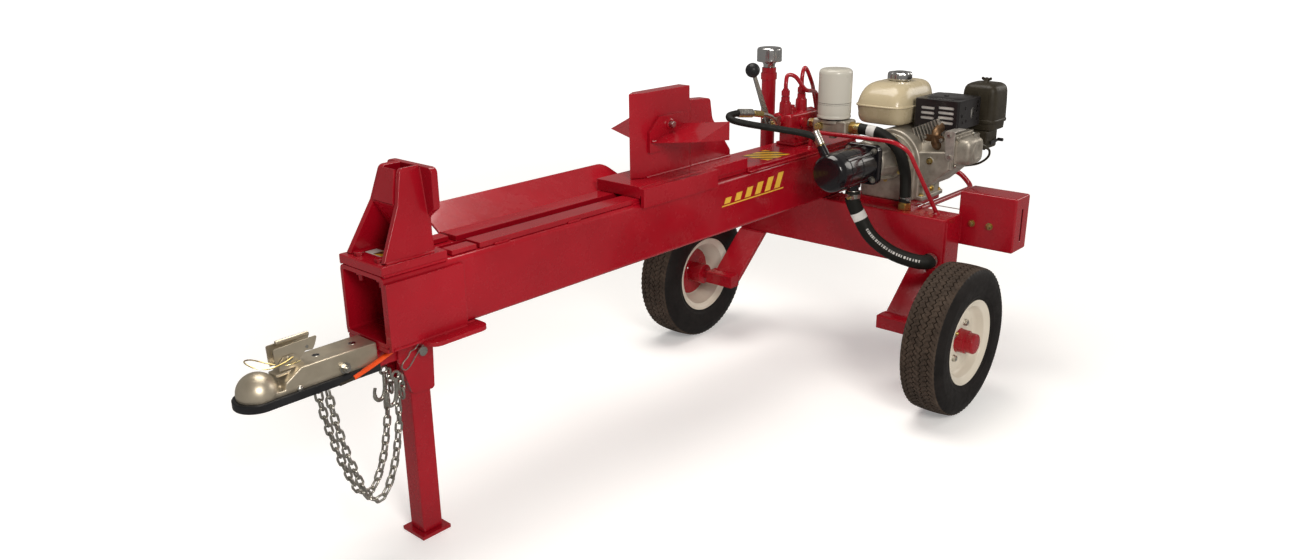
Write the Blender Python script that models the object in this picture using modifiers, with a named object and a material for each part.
"""Towed hydraulic log splitter: tube beam, sliding wedge, two-wheel axle, coupler, engine and pump.

Drawn with the beam along X (coupler at -X), the beam's centre line at Y = 0 and the axle at X = 0.
Z = 0 is the ground. The last lines move everything so that the origin is the middle of the footprint.
"""
import bpy
import bmesh
from math import pi, cos, sin, atan2
from mathutils import Matrix, Vector

# ---- driving dimensions (metres) ----
GAP = 0.0003                 # clearance between touching pieces
BEAM = 0.1524                # square tube, outside
WALL = 0.0095
BEAM_Z = 0.490               # underside of the beam = top of the oil tank
BEAM_FRONT = -1.441
BEAM_REAR = 0.330
SLOT_HALF = 0.015
SLOT_FRONT, SLOT_REAR = -1.270, -0.400
STRIP = 0.0125               # wear strip thickness
TRAVEL_TOP = BEAM_Z + BEAM + STRIP + GAP
TANK_X, TANK_L = 0.161, 0.1016
TANK_Y0, TANK_Y1 = -0.480, 0.250
TANK_H = 0.1524
TYRE_R, TYRE_W = 0.210, 0.122
WHEEL_Y = {"near": -0.605, "far": 0.320}
FOOT_FACE = -1.290           # rear face of the push plate
WEDGE_EDGE = -0.645
WEDGE_HALF = 0.019
WEDGE_TOP = 0.900
LEG_X, LEG_PIN_Z, LEG = -1.341, 0.448, 0.0508
PIN, PIN_BORE = 0.0080, 0.0085   # radius of the leg and wing pins, and of their holes
COUPLER_FRONT = -1.730
TRIM_LIP = 0.006             # how far the bumper strip stands out in front
LATCH = (-1.625, 0.0, 0.516)
CRANK = (-0.231, 0.632)      # y and z of the crankshaft and pump axis
MOUNT_TOP = BEAM_Z + 0.012   # engine plate on the oil tank
LEVER_PIVOT = (0.002, 0.035, 0.738)
LEVER = 0.162                # length of the valve lever above its pivot
STUB = 0.038                 # square bar that carries the wheel spindle
PISTON_Z = BEAM_Z + BEAM / 2
REAR_MOST = 0.648            # engine guard rail

NEAR_FACE, TOP = -BEAM / 2, BEAM_Z + BEAM
PINK_RED = (0.38, 0.006, 0.012, 1)

for old in list(bpy.data.objects):
    bpy.data.objects.remove(old, do_unlink=True)

PARTS = bpy.data.collections.new("log_splitter")
CUTTERS = bpy.data.collections.new("cutters")
bpy.context.scene.collection.children.link(PARTS)
bpy.context.scene.collection.children.link(CUTTERS)


# ---- materials ----
def material(name, colour, roughness, metallic=0.0):
    made = bpy.data.materials.new(name)
    made.use_nodes = True
    shader = made.node_tree.nodes["Principled BSDF"]
    shader.inputs["Base Color"].default_value = colour
    shader.inputs["Roughness"].default_value = roughness
    shader.inputs["Metallic"].default_value = metallic
    return made


RED = material("red_enamel", PINK_RED, 0.25)
STEEL = material("bright_steel", (0.6, 0.6, 0.58, 1), 0.3, 1.0)
ZINC = material("zinc_plate", (0.45, 0.40, 0.32, 1), 0.35, 1.0)
BLACK = material("black_paint", (0.012, 0.012, 0.012, 1), 0.3)
RUBBER = material("rubber", (0.015, 0.014, 0.013, 1), 0.8)
CREAM = material("cream_paint", (0.62, 0.56, 0.38, 1), 0.35)
WHITE = material("rim_paint", (0.70, 0.66, 0.56, 1), 0.4)
ALLOY = material("cast_aluminium", (0.55, 0.55, 0.53, 1), 0.45, 1.0)
PLASTIC = material("black_plastic", (0.02, 0.018, 0.014, 1), 0.5)


# ---- modelling helpers ----
def add(name, mesh, mat, cutter=False):
    """Link a mesh as a named sub-part, or as a hidden cutter."""
    made = bpy.data.objects.new(name, mesh)
    (CUTTERS if cutter else PARTS).objects.link(made)
    if mat is not None:
        mesh.materials.append(mat)
    if cutter:
        made.hide_render = True
        made.display_type = "WIRE"
    return made


def bevel(obj, width, segments=2):
    mod = obj.modifiers.new("edges", "BEVEL")
    mod.width = width
    mod.segments = segments
    mod.limit_method = "ANGLE"
    mod.angle_limit = 0.7
    return obj


def block(name, mat, low, high, edge=0.0, cutter=False):
    """A box from its low and high corners."""
    size = [b - a for a, b in zip(low, high)]
    mesh = bpy.data.meshes.new(name)
    work = bmesh.new()
    bmesh.ops.create_cube(work, size=1.0)
    bmesh.ops.scale(work, vec=size, verts=work.verts)
    bmesh.ops.translate(work, vec=[(a + b) / 2 for a, b in zip(low, high)], verts=work.verts)
    work.to_mesh(mesh)
    work.free()
    made = add(name, mesh, mat, cutter)
    return bevel(made, edge) if edge else made


def rod(name, mat, start, end, radius, sides=24, radius_end=None, cutter=False):
    """A round bar or cone between two points."""
    start, end = Vector(start), Vector(end)
    axis = end - start
    turn = axis.to_track_quat("Z", "Y").to_matrix().to_4x4()
    mesh = bpy.data.meshes.new(name)
    work = bmesh.new()
    bmesh.ops.create_cone(work, cap_ends=True, segments=sides, radius1=radius,
                          radius2=radius if radius_end is None else radius_end, depth=axis.length)
    bmesh.ops.transform(work, matrix=Matrix.Translation((start + end) / 2) @ turn, verts=work.verts)
    work.to_mesh(mesh)
    work.free()
    made = add(name, mesh, mat, cutter)
    mesh.shade_smooth()
    mesh.set_sharp_from_angle(angle=0.6)
    return made


def turned(name, mat, profile, place, sides=32, cutter=False):
    """Revolve (radius, height) points, listed top to bottom on the outer side, about local Z."""
    mesh = bpy.data.meshes.new(name)
    work = bmesh.new()
    points = [work.verts.new((r, 0.0, h)) for r, h in profile]
    for first, second in zip(points, points[1:]):
        work.edges.new((first, second))
    work.to_mesh(mesh)
    work.free()
    made = add(name, mesh, mat, cutter)
    made.matrix_world = place
    mod = made.modifiers.new("turn", "SCREW")
    mod.steps = mod.render_steps = sides
    mod.use_merge_vertices = True
    mod.merge_threshold = 0.00001
    return made


def closed_ring(profile):
    return profile + profile[:1]


def pipe(name, mat, points, radius, smooth=False, res=2):
    """A bent round bar, tube or hose along its route."""
    if smooth:
        points = smooth_route(points)
    curve = bpy.data.curves.new(name, "CURVE")
    curve.dimensions = "3D"
    curve.bevel_depth = radius
    curve.bevel_resolution = res
    curve.use_fill_caps = True
    spline = curve.splines.new("POLY")
    spline.points.add(len(points) - 1)
    for slot, point in zip(spline.points, points):
        slot.co = (*point, 1.0)
    curve.materials.append(mat)
    made = bpy.data.objects.new(name, curve)
    PARTS.objects.link(made)
    return made


def smooth_route(points, per_span=3):
    """A Catmull-Rom curve through the route's own points."""
    pts = [Vector(p) for p in points]
    pts = [pts[0] * 2 - pts[1]] + pts + [pts[-1] * 2 - pts[-2]]
    route = []
    for i in range(1, len(pts) - 2):
        a, b, c, d = pts[i - 1:i + 3]
        for k in range(per_span):
            t = k / per_span
            route.append(0.5 * ((2 * b) + (c - a) * t + (2 * a - 5 * b + 4 * c - d) * t * t
                                + (3 * b - a - 3 * c + d) * t ** 3))
    route.append(pts[-2])
    return route


def rounded(points, radii, steps=4):
    """Replace each corner of an outline by an arc of its own radius."""
    out = []
    count = len(points)
    for i, (point, radius) in enumerate(zip(points, radii)):
        here = Vector(point)
        before, after = Vector(points[i - 1]) - here, Vector(points[(i + 1) % count]) - here
        if radius <= 0:
            out.append(here)
            continue
        half = before.angle(after) / 2
        run = radius / (sin(half) / cos(half))
        start, end = here + before.normalized() * run, here + after.normalized() * run
        centre = here + (before.normalized() + after.normalized()).normalized() * radius / sin(half)
        a0 = atan2(*(start - centre).yx)
        sweep = (atan2(*(end - centre).yx) - a0 + pi) % (2 * pi) - pi
        out += [centre + Vector((cos(a0 + sweep * k / steps), sin(a0 + sweep * k / steps))) * radius
                for k in range(steps + 1)]
    return out


def plate(name, mat, outline, thick, origin, across, up, holes=(), edge=0.0, cutter=False):
    """A flat outline (with round corners and holes) of a given thickness, centred on its plane."""
    curve = bpy.data.curves.new(name, "CURVE")
    curve.dimensions = "2D"
    curve.fill_mode = "BOTH"
    curve.extrude = thick / 2
    for loop in [outline, *holes]:
        spline = curve.splines.new("POLY")
        spline.points.add(len(loop) - 1)
        for slot, point in zip(spline.points, loop):
            slot.co = (point[0], point[1], 0.0, 1.0)
        spline.use_cyclic_u = True
    across, up = Vector(across).normalized(), Vector(up).normalized()
    axes = Matrix((across, up, across.cross(up))).transposed().to_4x4()
    flat = bpy.data.objects.new(name + "_flat", curve)
    PARTS.objects.link(flat)
    flat.matrix_world = Matrix.Translation(origin) @ axes
    bpy.context.view_layer.update()
    mesh = bpy.data.meshes.new_from_object(flat.evaluated_get(bpy.context.evaluated_depsgraph_get()))
    mesh.transform(flat.matrix_world)
    work = bmesh.new()
    work.from_mesh(mesh)
    bmesh.ops.remove_doubles(work, verts=work.verts, dist=0.00002)
    bmesh.ops.recalc_face_normals(work, faces=work.faces)
    work.to_mesh(mesh)
    work.free()
    bpy.data.objects.remove(flat, do_unlink=True)
    made = add(name, mesh, None, cutter)
    if mat is not None:
        mesh.materials.clear()
        mesh.materials.append(mat)
    return bevel(made, edge, 1) if edge else made


def pivot(obj, point):
    """Put an object's origin on its joint's axis without moving its shape."""
    point = Vector(point)
    obj.data.transform(Matrix.Translation(-point))
    obj.location = point
    bpy.context.view_layer.update()
    return obj


def combine(target, other, operation):
    """Boolean two meshes; the second one becomes a hidden cutter."""
    if other.name in PARTS.objects:
        PARTS.objects.unlink(other)
        CUTTERS.objects.link(other)
    other.hide_render = True
    other.display_type = "WIRE"
    mod = target.modifiers.new(operation.lower(), "BOOLEAN")
    mod.operation = operation
    mod.object = other
    return target


def cut(target, *others):
    for other in others:
        combine(target, other, "DIFFERENCE")
    return target


def join(target, *others):
    for other in others:
        combine(target, other, "UNION")
    return target


def facing(point, direction):
    """A placement whose local Z points along a direction."""
    return Matrix.Translation(point) @ Vector(direction).to_track_quat("Z", "Y").to_matrix().to_4x4()


X, Y, Z = (1, 0, 0), (0, 1, 0), (0, 0, 1)


# ---- beam ----
def build_beam():
    centre = ((BEAM_FRONT + BEAM_REAR) / 2, 0, BEAM_Z + BEAM / 2)
    half, inner = BEAM / 2, BEAM / 2 - WALL
    corners = [(-1, -1), (1, -1), (1, 1), (-1, 1)]
    outside = rounded([(half * a, half * b) for a, b in corners], [0.012] * 4)
    inside = rounded([(inner * a, inner * b) for a, b in corners], [0.006] * 4)
    beam = plate("main_beam", RED, outside, BEAM_REAR - BEAM_FRONT, centre, Y, Z, [inside])
    slot = block("slot_cutter", None, (SLOT_FRONT, -SLOT_HALF, TOP - 0.03),
                 (SLOT_REAR, SLOT_HALF, TOP + 0.01), cutter=True)
    cut(beam, slot)
    low, high = TOP + GAP, TOP + STRIP
    for side, sign in (("near", -1), ("far", 1)):
        ys = sorted((sign * (SLOT_HALF + 0.001), sign * 0.066))
        block(f"wear_strip_{side}", RED, (-1.188, ys[0], low), (-0.241, ys[1], high), 0.001)
    block("rear_cover", RED, (-0.2405, -0.0745, low), (BEAM_REAR, 0.0745, TOP + 0.0145), 0.002)
    doubler = block("beam_doubler", None, (BEAM_FRONT, NEAR_FACE - 0.0085, BEAM_Z - 0.004),
                    (-1.250, NEAR_FACE - GAP, 0.6285))
    ledge = rounded([(BEAM_FRONT, -0.070), (-1.365, -0.070), (-1.365, -0.118), (-1.215, -0.118),
                     (-1.215, 0.118), (-1.365, 0.118), (-1.365, 0.070), (BEAM_FRONT, 0.070)],
                    [0, 0.01, 0.022, 0.022, 0.022, 0.022, 0.01, 0])
    shelf = plate("ledge_plate", RED, ledge, 0.0095, (0, 0, BEAM_Z - GAP - 0.00475), X, Y)
    join(shelf, doubler)


def build_foot():
    base_z = TOP + GAP
    base_top = base_z + 0.020
    block("foot_base_plate", RED, (BEAM_FRONT, -0.076, base_z), (-1.281, 0.076, base_top), 0.002)
    wide, narrow, neck, top = 0.076, 0.042, 0.742, 0.838
    outline = rounded([(-narrow, base_top + GAP), (narrow, base_top + GAP), (narrow, neck - 0.012),
                       (wide, neck + 0.012), (wide, top), (-wide, top), (-wide, neck + 0.012),
                       (-narrow, neck - 0.012)], [0, 0, 0.01, 0.012, 0.012, 0.012, 0.012, 0.01])
    plate("foot_push_plate", RED, outline, 0.016, (FOOT_FACE - 0.008, 0, 0), Y, Z)
    rear = FOOT_FACE - 0.016 - GAP
    for side, sign in (("near", -1), ("far", 1)):
        lean = Vector((0, -sign * 0.030, 0.175))
        foot = Vector((0, sign * 0.060, base_top + 0.0015))
        length = lean.length
        shape = rounded([(-1.428, 0), (rear, 0), (rear, length), (-1.352, length), (-1.372, length * 0.6)],
                        [0, 0, 0, 0.012, 0.02])
        plate(f"foot_gusset_{side}", RED, shape, 0.0125, foot, X, lean)


def build_cradle():
    """A log rest that rises outward along the far side of the beam."""
    inner, outer = Vector((0, 0.0785, 0.648)), Vector((0, 0.152, 0.696))
    width = (outer - inner).length
    shape = rounded([(-1.186, 0), (-0.560, 0), (-0.590, width), (-1.186, width)], [0, 0.01, 0.03, 0.006])
    plate("log_cradle", RED, shape, 0.0065, inner, X, outer - inner)


# ---- ram and wedge ----
def build_ram():
    barrel = rod("cylinder_barrel", RED, (-0.400, 0, PISTON_Z), (0.322, 0, PISTON_Z), 0.057, 32)
    bore = rod("bore_cutter", None, (-0.365, 0, PISTON_Z), (0.305, 0, PISTON_Z), 0.0508, 32, cutter=True)
    gland = rod("gland_cutter", None, (-0.420, 0, PISTON_Z), (-0.350, 0, PISTON_Z), 0.0260, 32, cutter=True)
    cut(barrel, bore, gland)
    stem = rod("cylinder_rod", STEEL, (-0.4597, 0, PISTON_Z), (0.290, 0, PISTON_Z), 0.0254, 32)
    join(stem, rod("piston", None, (0.262, 0, PISTON_Z), (0.300, 0, PISTON_Z), 0.0500, 32))


def build_wedge():
    deck = TRAVEL_TOP + 0.0297
    carriage = block("wedge_carriage", RED, (-0.690, -0.074, TRAVEL_TOP), (-0.245, 0.074, deck))
    ear = block("carriage_ear", None, (-0.690, -0.0890, 0.632), (-0.395, -0.0768, deck - 0.004))
    ear_top = block("ear_top", None, (-0.690, -0.0890, TRAVEL_TOP + 0.006), (-0.395, -0.070, deck - 0.004))
    lug = block("carriage_lug", None, (-0.560, -0.0140, 0.535), (-0.460, 0.0140, TRAVEL_TOP + 0.006))
    join(carriage, ear, ear_top, lug)
    floor = deck + GAP
    pin = (-0.520, 0.812)
    edge = [(WEDGE_EDGE, 0), (WEDGE_EDGE + 0.034, -WEDGE_HALF), (-0.4303, -WEDGE_HALF),
            (-0.4303, WEDGE_HALF), (WEDGE_EDGE + 0.034, WEDGE_HALF)]
    blade = plate("wedge_blade", RED, edge, WEDGE_TOP - floor, (0, 0, (WEDGE_TOP + floor) / 2), X, Y)
    bore = rod("pin_bore", None, (pin[0], -0.1, pin[1]), (pin[0], 0.1, pin[1]), PIN_BORE, 16, cutter=True)
    cut(blade, bore)
    brace = rounded([(-0.430, deck - 0.01), (-0.250, deck - 0.01), (-0.250, 0.702), (-0.330, 0.800),
                     (-0.340, 0.856), (-0.430, 0.862)], [0, 0, 0.008, 0.03, 0.012, 0])
    join(carriage, plate("wedge_brace", None, brace, 0.032, (0, 0, 0), X, Z))
    for side, sign in (("near", -1), ("far", 1)):
        root = sign * (WEDGE_HALF + GAP)
        flat = [(-0.598, 0.748), (-0.462, 0.748), (-0.462, 0.836), (-0.560, 0.836), (-0.598, 0.800)]
        wing = plate(f"wing_{side}", RED, flat, 0.008, (0, root + sign * 0.004, 0), X, Z)
        vane = plate(f"vane_{side}", None, [(-0.596, 0.772), (-0.468, 0.758), (-0.468, 0.806)], 0.128,
                     (0, root + sign * 0.0665, 0), X, Z)
        for vert in vane.data.vertices:
            reach = abs(vert.co.y) - abs(root)
            vert.co.x += 0.30 * reach
            vert.co.z += 0.10 * reach
        join(wing, vane)
        cut(wing, bore)
    rod("wing_pin", STEEL, (pin[0], -0.042, pin[1]), (pin[0], 0.042, pin[1]), PIN, 16)


# ---- hitch and leg ----
def build_hitch():
    half, top, low = 0.038, 0.497, 0.437
    shell = rounded([(-1.700, -half), (-1.442, -half), (-1.442, half), (-1.700, half)],
                    [0.036, 0, 0, 0.036], 6)
    body = plate("coupler_body", ZINC, shell, top - low, (0, 0, (top + low) / 2), X, Y)
    mesh = bpy.data.meshes.new("dome")
    work = bmesh.new()
    bmesh.ops.create_uvsphere(work, u_segments=20, v_segments=12, radius=0.042)
    bmesh.ops.translate(work, vec=(-1.688, 0, 0.461), verts=work.verts)
    work.to_mesh(mesh)
    work.free()
    dome = add("dome", mesh, None, True)
    join(body, dome)
    for sign in (-1, 1):
        join(body, block(f"latch_ear_{sign}", None, (-1.638, sign * 0.0180 - 0.0020, top - 0.006),
                         (-1.612, sign * 0.0180 + 0.0020, LATCH[2] + 0.007)))
    join(body, rod("latch_pin", None, (LATCH[0], -0.019, LATCH[2]), (LATCH[0], 0.019, LATCH[2]), 0.0031, 12))
    level = block("dome_foot", None, (-1.80, -0.1, 0.38), (-1.60, 0.1, low), cutter=True)
    channel = block("channel_cutter", None, (-1.590, -0.0285, 0.420), (-1.400, 0.0285, 0.4905), cutter=True)
    socket = rod("socket_cutter", None, (-1.688, 0, 0.40), (-1.688, 0, 0.470), 0.0265, 24, cutter=True)
    cut(body, level, channel, socket)
    front = COUPLER_FRONT - TRIM_LIP
    lip = rounded([(front, -0.046), (-1.450, -0.046), (-1.450, 0.046), (front, 0.046)],
                  [0.044, 0.004, 0.004, 0.044], 6)
    throat = rounded([(-1.722, -0.034), (-1.440, -0.034), (-1.440, 0.034), (-1.722, 0.034)],
                     [0.032, 0, 0, 0.032], 6)
    rim = plate("coupler_trim", BLACK, lip, 0.008, (0, 0, low - GAP - 0.004), X, Y)
    cut(rim, plate("throat_cutter", None, throat, 0.02, (0, 0, low - 0.004), X, Y, cutter=True))
    tongue = block("hitch_bracket", RED, (-1.560, -0.0275, 0.440), (-1.386, 0.0275, 0.4799))
    for sign in (-1, 1):
        cheek = rounded([(-1.395, 0.4799), (-1.395, 0.440), (-1.368, 0.356), (-1.312, 0.350),
                         (-1.306, 0.4799)], [0, 0.01, 0.01, 0.008, 0])
        join(tongue, plate(f"cheek_{sign}", None, cheek, 0.008, (0, sign * 0.0304, 0), X, Z))
    cut(tongue, rod("leg_pin_bore", None, (LEG_X, -0.1, LEG_PIN_Z), (LEG_X, 0.1, LEG_PIN_Z), PIN_BORE, 24,
                    cutter=True))
    lever = rounded([(-1.638, 0.507), (-1.612, 0.507), (-1.590, 0.520), (-1.540, 0.522), (-1.538, 0.530),
                     (-1.600, 0.535), (-1.632, 0.534), (-1.640, 0.522)],
                    [0.002, 0, 0, 0.002, 0.002, 0, 0.004, 0.004])
    latch = plate("coupler_latch", ZINC, lever, 0.030, (0, 0, 0), X, Z)
    lx, _, lz = LATCH
    cut(latch, rod("latch_bore", None, (lx, -0.05, lz), (lx, 0.05, lz), 0.0034, 12, cutter=True))
    pivot(latch, LATCH)


def build_leg():
    half = LEG / 2
    leg = block("jack_leg", RED, (LEG_X - half, -half, 0.0085), (LEG_X + half, half, 0.4660), 0.004)
    pad = block("leg_pad", None, (LEG_X - 0.038, -0.038, 0.0), (LEG_X + 0.038, 0.038, 0.0090))
    join(leg, pad)
    hole = rod("leg_bore", None, (LEG_X, -0.1, LEG_PIN_Z), (LEG_X, 0.1, LEG_PIN_Z), PIN_BORE, 24, cutter=True)
    hollow = block("leg_hollow", None, (LEG_X - half + 0.005, -half + 0.005, 0.020),
                   (LEG_X + half - 0.005, half - 0.005, 0.480), cutter=True)
    cut(leg, hole, hollow)
    pivot(leg, (LEG_X, 0, LEG_PIN_Z))
    rod("leg_pin", STEEL, (LEG_X, -0.046, LEG_PIN_Z), (LEG_X, 0.046, LEG_PIN_Z), PIN, 24)


def build_chains():
    """Two safety chains, each as the tube that its links fill."""
    for side, shift in (("near", -0.030), ("far", 0.012)):
        route = [(-1.560, 0.0, 0.424), (-1.552, 0, 0.36), (-1.530, 0, 0.26), (-1.497, 0, 0.165),
                 (-1.462, 0, 0.150), (-1.428, 0, 0.21), (-1.407, 0, 0.30), (-1.404, 0, 0.388)]
        route = [(x, shift, z) for x, _, z in route]
        pipe(f"safety_chain_{side}", ZINC, route, 0.008, smooth=True, res=1)


# ---- axle and wheels ----
def build_axle():
    low, rear = BEAM_Z - TANK_H, TANK_X + TANK_L
    top = BEAM_Z - GAP
    tank = block("oil_tank", RED, (TANK_X, TANK_Y0, low), (rear, TANK_Y1, top), 0.006)
    wall = 0.006
    hollow = block("tank_hollow", None, (TANK_X + wall, TANK_Y0 + wall, low + wall),
                   (rear - wall, TANK_Y1 - wall, top - wall), cutter=True)
    filler = rod("filler_hole", None, (0.211, 0.185, top - 0.02), (0.211, 0.185, top + 0.01), 0.016, 16,
                 cutter=True)
    cut(tank, hollow, filler)
    shelf = block("engine_shelf", None, (0.225, -0.335, top - 0.003), (0.405, -0.126, MOUNT_TOP))
    rib = block("shelf_rib", None, (rear - 0.003, -0.236, 0.455), (0.395, -0.224, top))
    join(tank, shelf, rib)
    spans = {"near": (-0.478, -0.380), "far": (0.150, 0.248)}
    for side, (y0, y1) in spans.items():
        out = -1 if side == "near" else 1
        slant = [(TANK_X - 0.004, low - GAP), (TANK_X + 0.016, low - GAP), (0.030, 0.205), (0.010, 0.205)]
        arm = plate(f"axle_arm_{side}", RED, slant, y1 - y0, (0, (y0 + y1) / 2, 0), X, Z)
        bar = block(f"stub_bar_{side}", None, (-STUB / 2, y0 - 0.002, TYRE_R - STUB / 2),
                    (STUB / 2, y1 + 0.002, TYRE_R + STUB / 2))
        inner = y0 if out < 0 else y1
        outer = WHEEL_Y[side] + out * 0.040
        spindle = rod(f"spindle_{side}", None, (0, inner - out * 0.01, TYRE_R), (0, outer, TYRE_R), 0.0127)
        join(arm, bar, spindle)


def build_wheel(side):
    """Hub, rim and tyre, revolved about the axle; local Z points outward."""
    out = -1 if side == "near" else 1
    place = facing((0, WHEEL_Y[side], TYRE_R), (0, out, 0))
    half = TYRE_W / 2
    hub = [(0.0255, 0.069), (0.0325, 0.062), (0.0325, 0.017), (0.076, 0.015), (0.076, 0.006),
           (0.0335, 0.003), (0.0325, -0.050), (0.0130, -0.050), (0.0130, 0.048), (0.0, 0.048)]
    body = turned(f"wheel_hub_{side}", RED, [(0.0, 0.069)] + hub, place, 28)
    body.data.shade_smooth()
    rim = [(0.1200, 0.052), (0.1200, 0.047), (0.1040, 0.040), (0.1005, 0.020), (0.0900, 0.012),
           (0.0900, -0.012), (0.1005, -0.024), (0.1040, -0.040), (0.1200, -0.047), (0.1200, -0.052),
           (0.1160, -0.052), (0.1000, -0.043), (0.0965, -0.026), (0.0860, -0.013), (0.0800, 0.0155),
           (0.0340, 0.0173), (0.0340, 0.0200), (0.0820, 0.0190), (0.0860, 0.0145), (0.0965, 0.024),
           (0.1000, 0.043), (0.1160, 0.052)]
    turned(f"wheel_rim_{side}", WHITE, closed_ring(rim), place, 24)
    r = TYRE_R
    tread = [(r, 0.030), (r, -0.030), (r - 0.003, -0.042), (r - 0.012, -0.054), (r - 0.045, -half),
             (0.135, -0.055), (0.1210, -0.052), (0.1210, -0.0465), (0.1053, -0.0400), (0.1053, -0.030),
             (0.130, -0.044), (0.165, -0.051), (0.192, -0.044), (0.199, -0.030), (0.199, 0.030),
             (0.192, 0.044), (0.165, 0.051), (0.130, 0.044), (0.1053, 0.030), (0.1053, 0.0400),
             (0.1210, 0.0465), (0.1210, 0.052), (0.135, 0.055), (r - 0.045, half), (r - 0.012, 0.054),
             (r - 0.003, 0.042)]
    turned(f"tyre_{side}", RUBBER, closed_ring(tread), place, 28)


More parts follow.
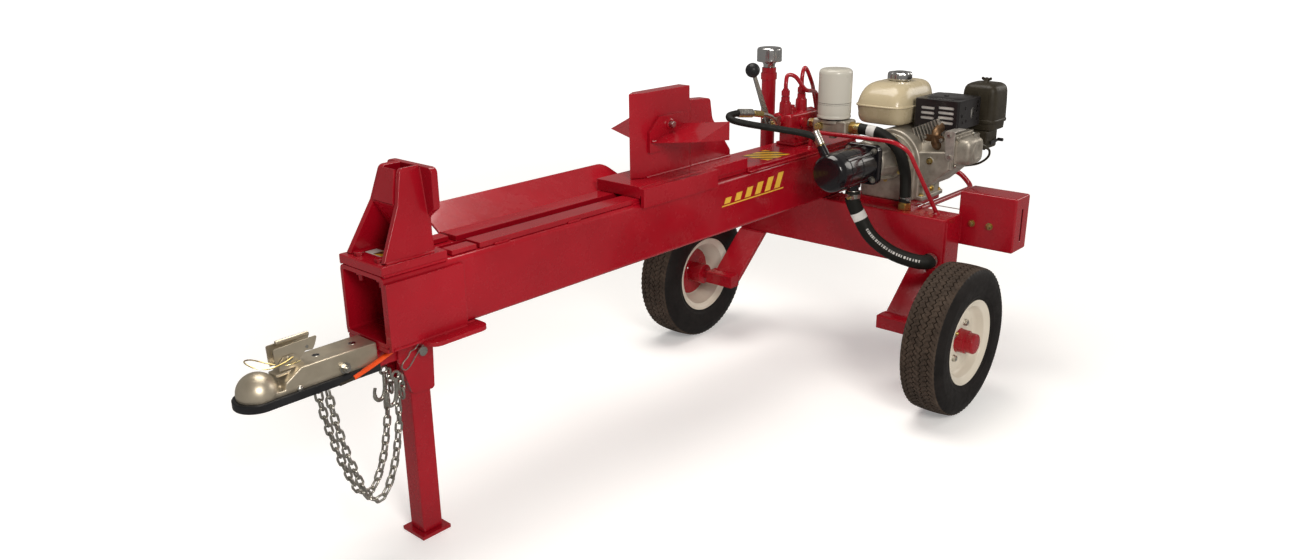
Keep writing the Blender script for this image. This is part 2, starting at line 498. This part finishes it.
# ---- hydraulics ----
def build_hydraulics():
    y, z = CRANK
    pipe_at = (0.211, 0.185)
    top = BEAM_Z + GAP
    neck = rod("filler_pipe", RED, (*pipe_at, top), (*pipe_at, 0.868), 0.0225, 20)
    cut(neck, rod("filler_bore", None, (*pipe_at, top - 0.01), (*pipe_at, 0.88), 0.0185, 20, cutter=True))
    cap = [(0.0, 0.932), (0.036, 0.932), (0.040, 0.927), (0.040, 0.890), (0.020, 0.884), (0.018, 0.8683),
           (0.0, 0.8683)]
    turned("breather_cap", STEEL, cap, Matrix.Translation((*pipe_at, 0)), 24)
    seat = TOP + 0.0145 + GAP
    valve = block("valve_body", RED, (0.045, -0.012, seat), (0.205, 0.062, 0.772), 0.008)
    for x in (0.074, 0.160):
        join(valve, rod(f"port_{x}", None, (x, 0.025, 0.765), (x, 0.025, 0.8247), 0.0105, 6))
    join(valve, rod("relief_cap", None, (0.20, 0.03, 0.725), (0.225, 0.03, 0.725), 0.011, 6))
    cut(valve, rod("spool_bore", None, (0.040, 0.035, 0.738), (0.150, 0.035, 0.738), 0.0085, 16, cutter=True))
    px, py, pz = LEVER_PIVOT
    for sign in (-1, 1):
        ear_y = py + sign * 0.0115
        join(valve, block(f"clevis_{sign}", None, (px - 0.010, ear_y - 0.0025, pz - 0.010),
                          (0.050, ear_y + 0.0025, pz + 0.010)))
    join(valve, rod("clevis_pin", None, (px, py - 0.013, pz), (px, py + 0.013, pz), 0.0030, 12))
    spool = rod("valve_spool", STEEL, (px + 0.024, py, pz), (0.110, py, pz), 0.0080, 16)
    pivot(spool, (px + 0.024, py, pz))
    lean = Vector((-0.086, -0.004, 0.155))
    foot = Vector((px - 0.001, py, pz + 0.002))
    handle = rounded([(-0.011, -0.012), (0.011, -0.012), (0.006, LEVER), (-0.006, LEVER)],
                     [0.008, 0.008, 0, 0])
    lever = plate("valve_lever", STEEL, handle, 0.006, foot, lean.cross(Vector(Y)), lean)
    cut(lever, rod("lever_bore", None, (px, py - 0.02, pz), (px, py + 0.02, pz), 0.0032, 12, cutter=True))
    pivot(lever, LEVER_PIVOT)
    knob = foot + lean.normalized() * (LEVER + GAP)
    ball = [(0.0, 0.042), (0.010, 0.040), (0.0182, 0.032), (0.021, 0.021), (0.0182, 0.010), (0.010, 0.002),
            (0.0, 0.0)]
    turned("lever_knob", BLACK, ball, facing(knob, lean), 20)
    head = block("filter_head", ALLOY, (0.118, -0.160, 0.700), (0.182, -0.045, 0.744), 0.006)
    join(head, rod("head_stub", None, (0.150, -0.055, 0.722), (0.150, -0.0123, 0.722), 0.014, 6))
    can = [(0.0, 0.893), (0.036, 0.893), (0.046, 0.886), (0.050, 0.876), (0.050, 0.756), (0.048, 0.7443),
           (0.0, 0.7443)]
    turned("filter_canister", WHITE, can, Matrix.Translation((0.150, -0.100, 0)), 28)
    adapter = rod("pump_adapter", ALLOY, (0.118, y, z), (0.2347, y, z), 0.055, 28, 0.068)
    cut(adapter, rod("adapter_hollow", None, (0.11, y, z), (0.24, y, z), 0.046, 28, cutter=True))
    pump = rod("gear_pump", BLACK, (-0.085, y, z), (0.100, y, z), 0.056, 28)
    flange = plate("pump_flange", None, rounded([(-0.058, -0.058), (0.058, -0.058), (0.058, 0.058),
                   (-0.058, 0.058)], [0.02] * 4), 0.022, (0.1067, y, z), Y, Z)
    outlet = rod("pump_outlet", None, (-0.052, y + 0.02, z + 0.03), (-0.052, y + 0.045, z + 0.072), 0.012, 12)
    inlet = rod("pump_inlet", None, (0.060, y, z - 0.03), (0.060, y, z - 0.072), 0.019, 12)
    join(pump, flange, outlet, inlet)
    start = Vector((-0.052, y + 0.045, z + 0.072))
    away = Vector((0, 0.025, 0.042)).normalized()
    pressure = [start + away * 0.0025, start + away * 0.016, (-0.070, -0.150, 0.734), (-0.118, -0.090, 0.748),
                (-0.180, -0.030, 0.764), (-0.212, 0.006, 0.776), (-0.196, 0.030, 0.784),
                (-0.150, 0.030, 0.786), (-0.100, 0.005, 0.780), (-0.040, -0.006, 0.764),
                (0.008, 0.000, 0.716), (0.0405, 0.002, 0.712)]
    pipe("pressure_hose", RUBBER, pressure, 0.0095, smooth=True)
    returning = [(0.150, -0.1615, 0.722), (0.150, -0.205, 0.722), (0.158, -0.262, 0.712),
                 (0.180, -0.304, 0.670), (0.198, -0.322, 0.600), (0.200, -0.326, 0.540),
                 (0.200, -0.326, 0.4912)]
    pipe("return_hose", RUBBER, returning, 0.0165, smooth=True)
    sucking = [(0.060, y, z - 0.0734), (0.0605, y - 0.001, 0.530), (0.075, -0.250, 0.480),
               (0.085, -0.285, 0.425), (0.092, -0.345, 0.388), (0.108, -0.405, 0.370), (0.130, -0.4430, 0.365),
               (0.1590, -0.446, 0.365)]
    pipe("suction_hose", RUBBER, sucking, 0.0212, smooth=True)
    lines = {"near": (0.074, -0.006, 0.868, 0.226, 0.016), "far": (0.160, 0.030, 0.880, 0.262, 0.048)}
    for side, (x, y_over, z_top, x_end, y_down) in lines.items():
        route = [(x, 0.025, 0.8262), (x, 0.025, z_top - 0.022), (x + 0.012, 0.027, z_top),
                 (x + 0.030, (0.027 + y_over) / 2, z_top - 0.006), (x + 0.060, y_over, z_top - 0.045),
                 (x_end, y_down, 0.800), (x_end + 0.022, y_down, 0.730),
                 (x_end + 0.024, y_down, seat + 0.003)]
        pipe(f"work_line_{side}", RED, route, 0.0064, smooth=True)


def build_guards():
    seat = TOP + 0.0145 + GAP
    hoop = [(0.098, -0.052, seat), (0.098, -0.054, 0.700), (0.100, -0.068, 0.7060), (0.102, -0.320, 0.7080),
            (0.110, -0.352, 0.702), (0.122, -0.368, 0.684), (0.215, -0.424, 0.4942)]
    pipe("hoop_guard", RED, hoop, 0.0062, smooth=False)
    back = TANK_X + TANK_L + GAP
    low = BEAM_Z - 0.0085
    rail = [(back, -0.345, low), (0.612, -0.345, low), (0.632, -0.335, low + 0.004), (0.6398, -0.270, 0.524),
            (0.6398, -0.190, 0.524), (0.632, -0.125, low + 0.004), (0.612, -0.115, low), (back, -0.115, low)]
    pipe("engine_guard", RED, rail, 0.0082)
    box = block("side_box", RED, (back, -0.640, 0.396), (0.356, -0.468, 0.557), 0.006)
    wall = 0.003
    hollow = block("box_hollow", None, (back + wall, -0.637, 0.399), (0.353, -0.471, 0.554), cutter=True)
    slot = block("box_slot", None, (0.305, -0.66, 0.425), (0.315, -0.62, 0.520), cutter=True)
    cut(box, hollow, slot)


# ---- engine ----
def build_engine():
    y, z = CRANK
    floor = MOUNT_TOP + GAP
    case = block("engine_crankcase", ALLOY, (0.235, -0.335, floor), (0.415, -0.125, 0.7145), 0.016)
    shape = rounded([(-0.300, 0.560), (-0.425, 0.610), (-0.425, 0.705), (-0.300, 0.7145)], [0, 0.01, 0.01, 0])
    head = plate("cylinder_block", None, shape, 0.135, (0.345, 0, 0), Y, Z)
    intake = block("intake", None, (0.400, -0.415, 0.640), (0.4835, -0.365, 0.690))
    join(case, head, intake)
    rocker = rounded([(-0.4253, 0.612), (-0.470, 0.624), (-0.470, 0.694), (-0.4253, 0.704)],
                     [0, 0.012, 0.012, 0])
    plate("rocker_cover", ALLOY, rocker, 0.115, (0.350, 0, 0), Y, Z, edge=0.004)
    shell = rounded([(0.262, 0.7150), (0.468, 0.7150), (0.473, 0.7450), (0.508, 0.7450), (0.508, 0.838),
                     (0.262, 0.838)], [0.025, 0.006, 0, 0.012, 0.030, 0.034])
    plate("fuel_tank", CREAM, shell, 0.177, (0, -0.1735, 0), X, Z, edge=0.012)
    cap = [(0.0, 0.866), (0.034, 0.866), (0.038, 0.860), (0.038, 0.843), (0.030, 0.8383), (0.0, 0.8383)]
    turned("fuel_cap", STEEL, cap, Matrix.Translation((0.392, -0.180, 0)), 20)
    guard = block("muffler", BLACK, (0.326, -0.412, 0.7151), (0.477, -0.270, 0.806))
    cut(guard, block("muffler_hollow", None, (0.330, -0.408, 0.70), (0.473, -0.274, 0.800), cutter=True))
    block("air_cleaner", PLASTIC, (0.484, -0.452, 0.694), (0.600, -0.334, 0.834), 0.012)
    fan = [(0.0, 0.1485), (0.060, 0.1485), (0.085, 0.1385), (0.105, 0.1125), (0.108, 0.0628), (0.080, 0.0628),
           (0.080, 0.0003), (0.0, 0.0003)]
    starter = turned("recoil_starter", BLACK, fan, facing((0.4153, y, z), X), 28)
    starter.data.shade_smooth()
    pull = Vector((0, cos(pi / 6), sin(pi / 6)))
    grip = Vector((0.520, y, z)) + pull * 0.1085
    handle = rod("starter_handle", BLACK, grip, grip + pull * 0.034, 0.0105, 12)
    pivot(handle, grip)


build_beam()
build_foot()
build_cradle()
build_ram()
build_wedge()
build_hitch()
build_leg()
build_chains()
build_axle()
build_wheel("near")
build_wheel("far")
build_hydraulics()
build_guards()
build_engine()

# ---- move the origin to the middle of the footprint, on the ground ----
shift = Vector((-(COUPLER_FRONT - TRIM_LIP + REAR_MOST) / 2, -(WHEEL_Y["near"] + WHEEL_Y["far"]) / 2, 0))
for made in bpy.data.objects:
    made.matrix_world = Matrix.Translation(shift) @ made.matrix_world
